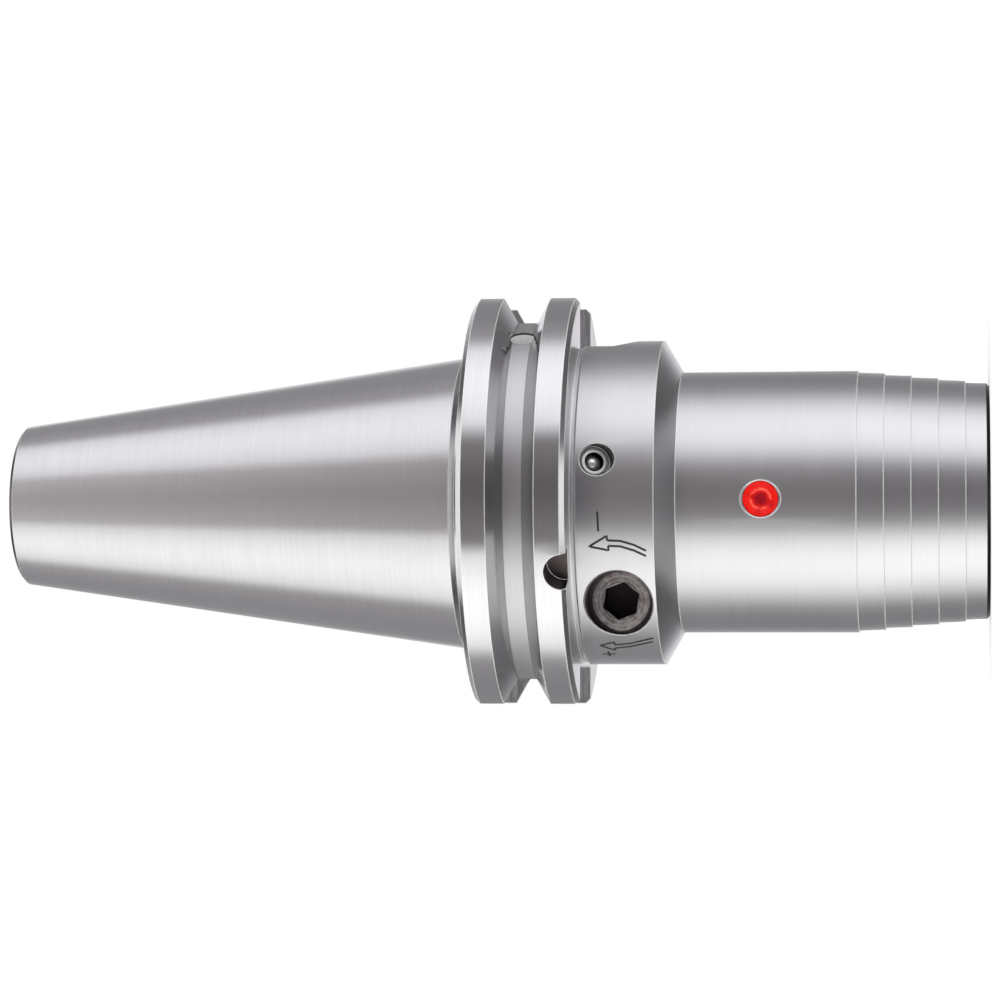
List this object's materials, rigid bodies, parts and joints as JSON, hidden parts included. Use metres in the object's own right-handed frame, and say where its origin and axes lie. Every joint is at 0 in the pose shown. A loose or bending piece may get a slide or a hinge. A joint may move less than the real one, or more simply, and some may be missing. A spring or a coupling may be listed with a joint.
{
  "type": "hydraulic chuck",
  "caption": "Steep-taper toolholder with gripper flange, drive slots and an oil-pressure expansion sleeve that clamps a round tool shank when a side screw is turned.",
  "frame": {"origin": "centre of the taper's gauge plane, on the chuck's axis", "axes": "+Z along the axis into the spindle, so the tool end points down and its front face is the lowest; +X through the middle of the deeper drive slot; the bleeding port faces -Y"},
  "size_m": [0.0614, 0.0636, 0.1489],
  "materials": {
    "turned_steel": "fine turned and ground, satin",
    "sleeve_steel": "honed",
    "black_screw": "black oxide, oiled",
    "piston_steel": "ground",
    "hard_ring": "plain",
    "seal_rubber": "smooth",
    "ball_steel": "polished",
    "port_plug": "machined",
    "red_lacquer": "glossy sealing lacquer",
    "set_screw": "bright",
    "pellet_plastic": "plain"
  },
  "bodies": {
    "chuck": {"chuck_body": "turned_steel", "expansion_sleeve": "sleeve_steel", "fill_ball": "ball_steel", "fill_plug": "port_plug", "bleed_ball": "ball_steel", "bleed_plug": "port_plug", "seal_lacquer": "red_lacquer", "balance_screw": "set_screw"},
    "piston": {"pressure_piston": "piston_steel", "piston_backup_ring": "hard_ring", "piston_seal": "seal_rubber"},
    "clamp_screw": {"actuating_screw": "black_screw"},
    "stop_feed": {"stop_ring": "seal_rubber"},
    "stop": {"stop_screw": "black_screw", "stop_pellet": "pellet_plastic"}
  },
  "joints": [
    {"name": "piston_slide", "type": "slide", "parent": "chuck", "child": "piston", "axis": [0.1184, 0.993, 0], "range_m": [0, 0.004]},
    {"name": "screw_turn", "type": "hinge", "parent": "piston", "child": "clamp_screw", "pos_m": [-0.01345, 0.0016, -0.0259], "axis": [0.1184, 0.993, 0], "range_deg": [0, 1440]},
    {"name": "stop_slide", "type": "slide", "parent": "chuck", "child": "stop_feed", "axis": [0, 0, -1], "range_m": [0, 0.01]},
    {"name": "stop_turn", "type": "hinge", "parent": "stop_feed", "child": "stop", "pos_m": [0, 0, -0.0185], "axis": [0, 0, -1], "range_deg": [0, 3600]}
  ],
  "couplings": [
    {"joint": "screw_turn", "follows": "piston_slide", "rad_per_m": 6283.2},
    {"joint": "stop_turn", "follows": "stop_slide", "rad_per_m": 6283.2}
  ]
}
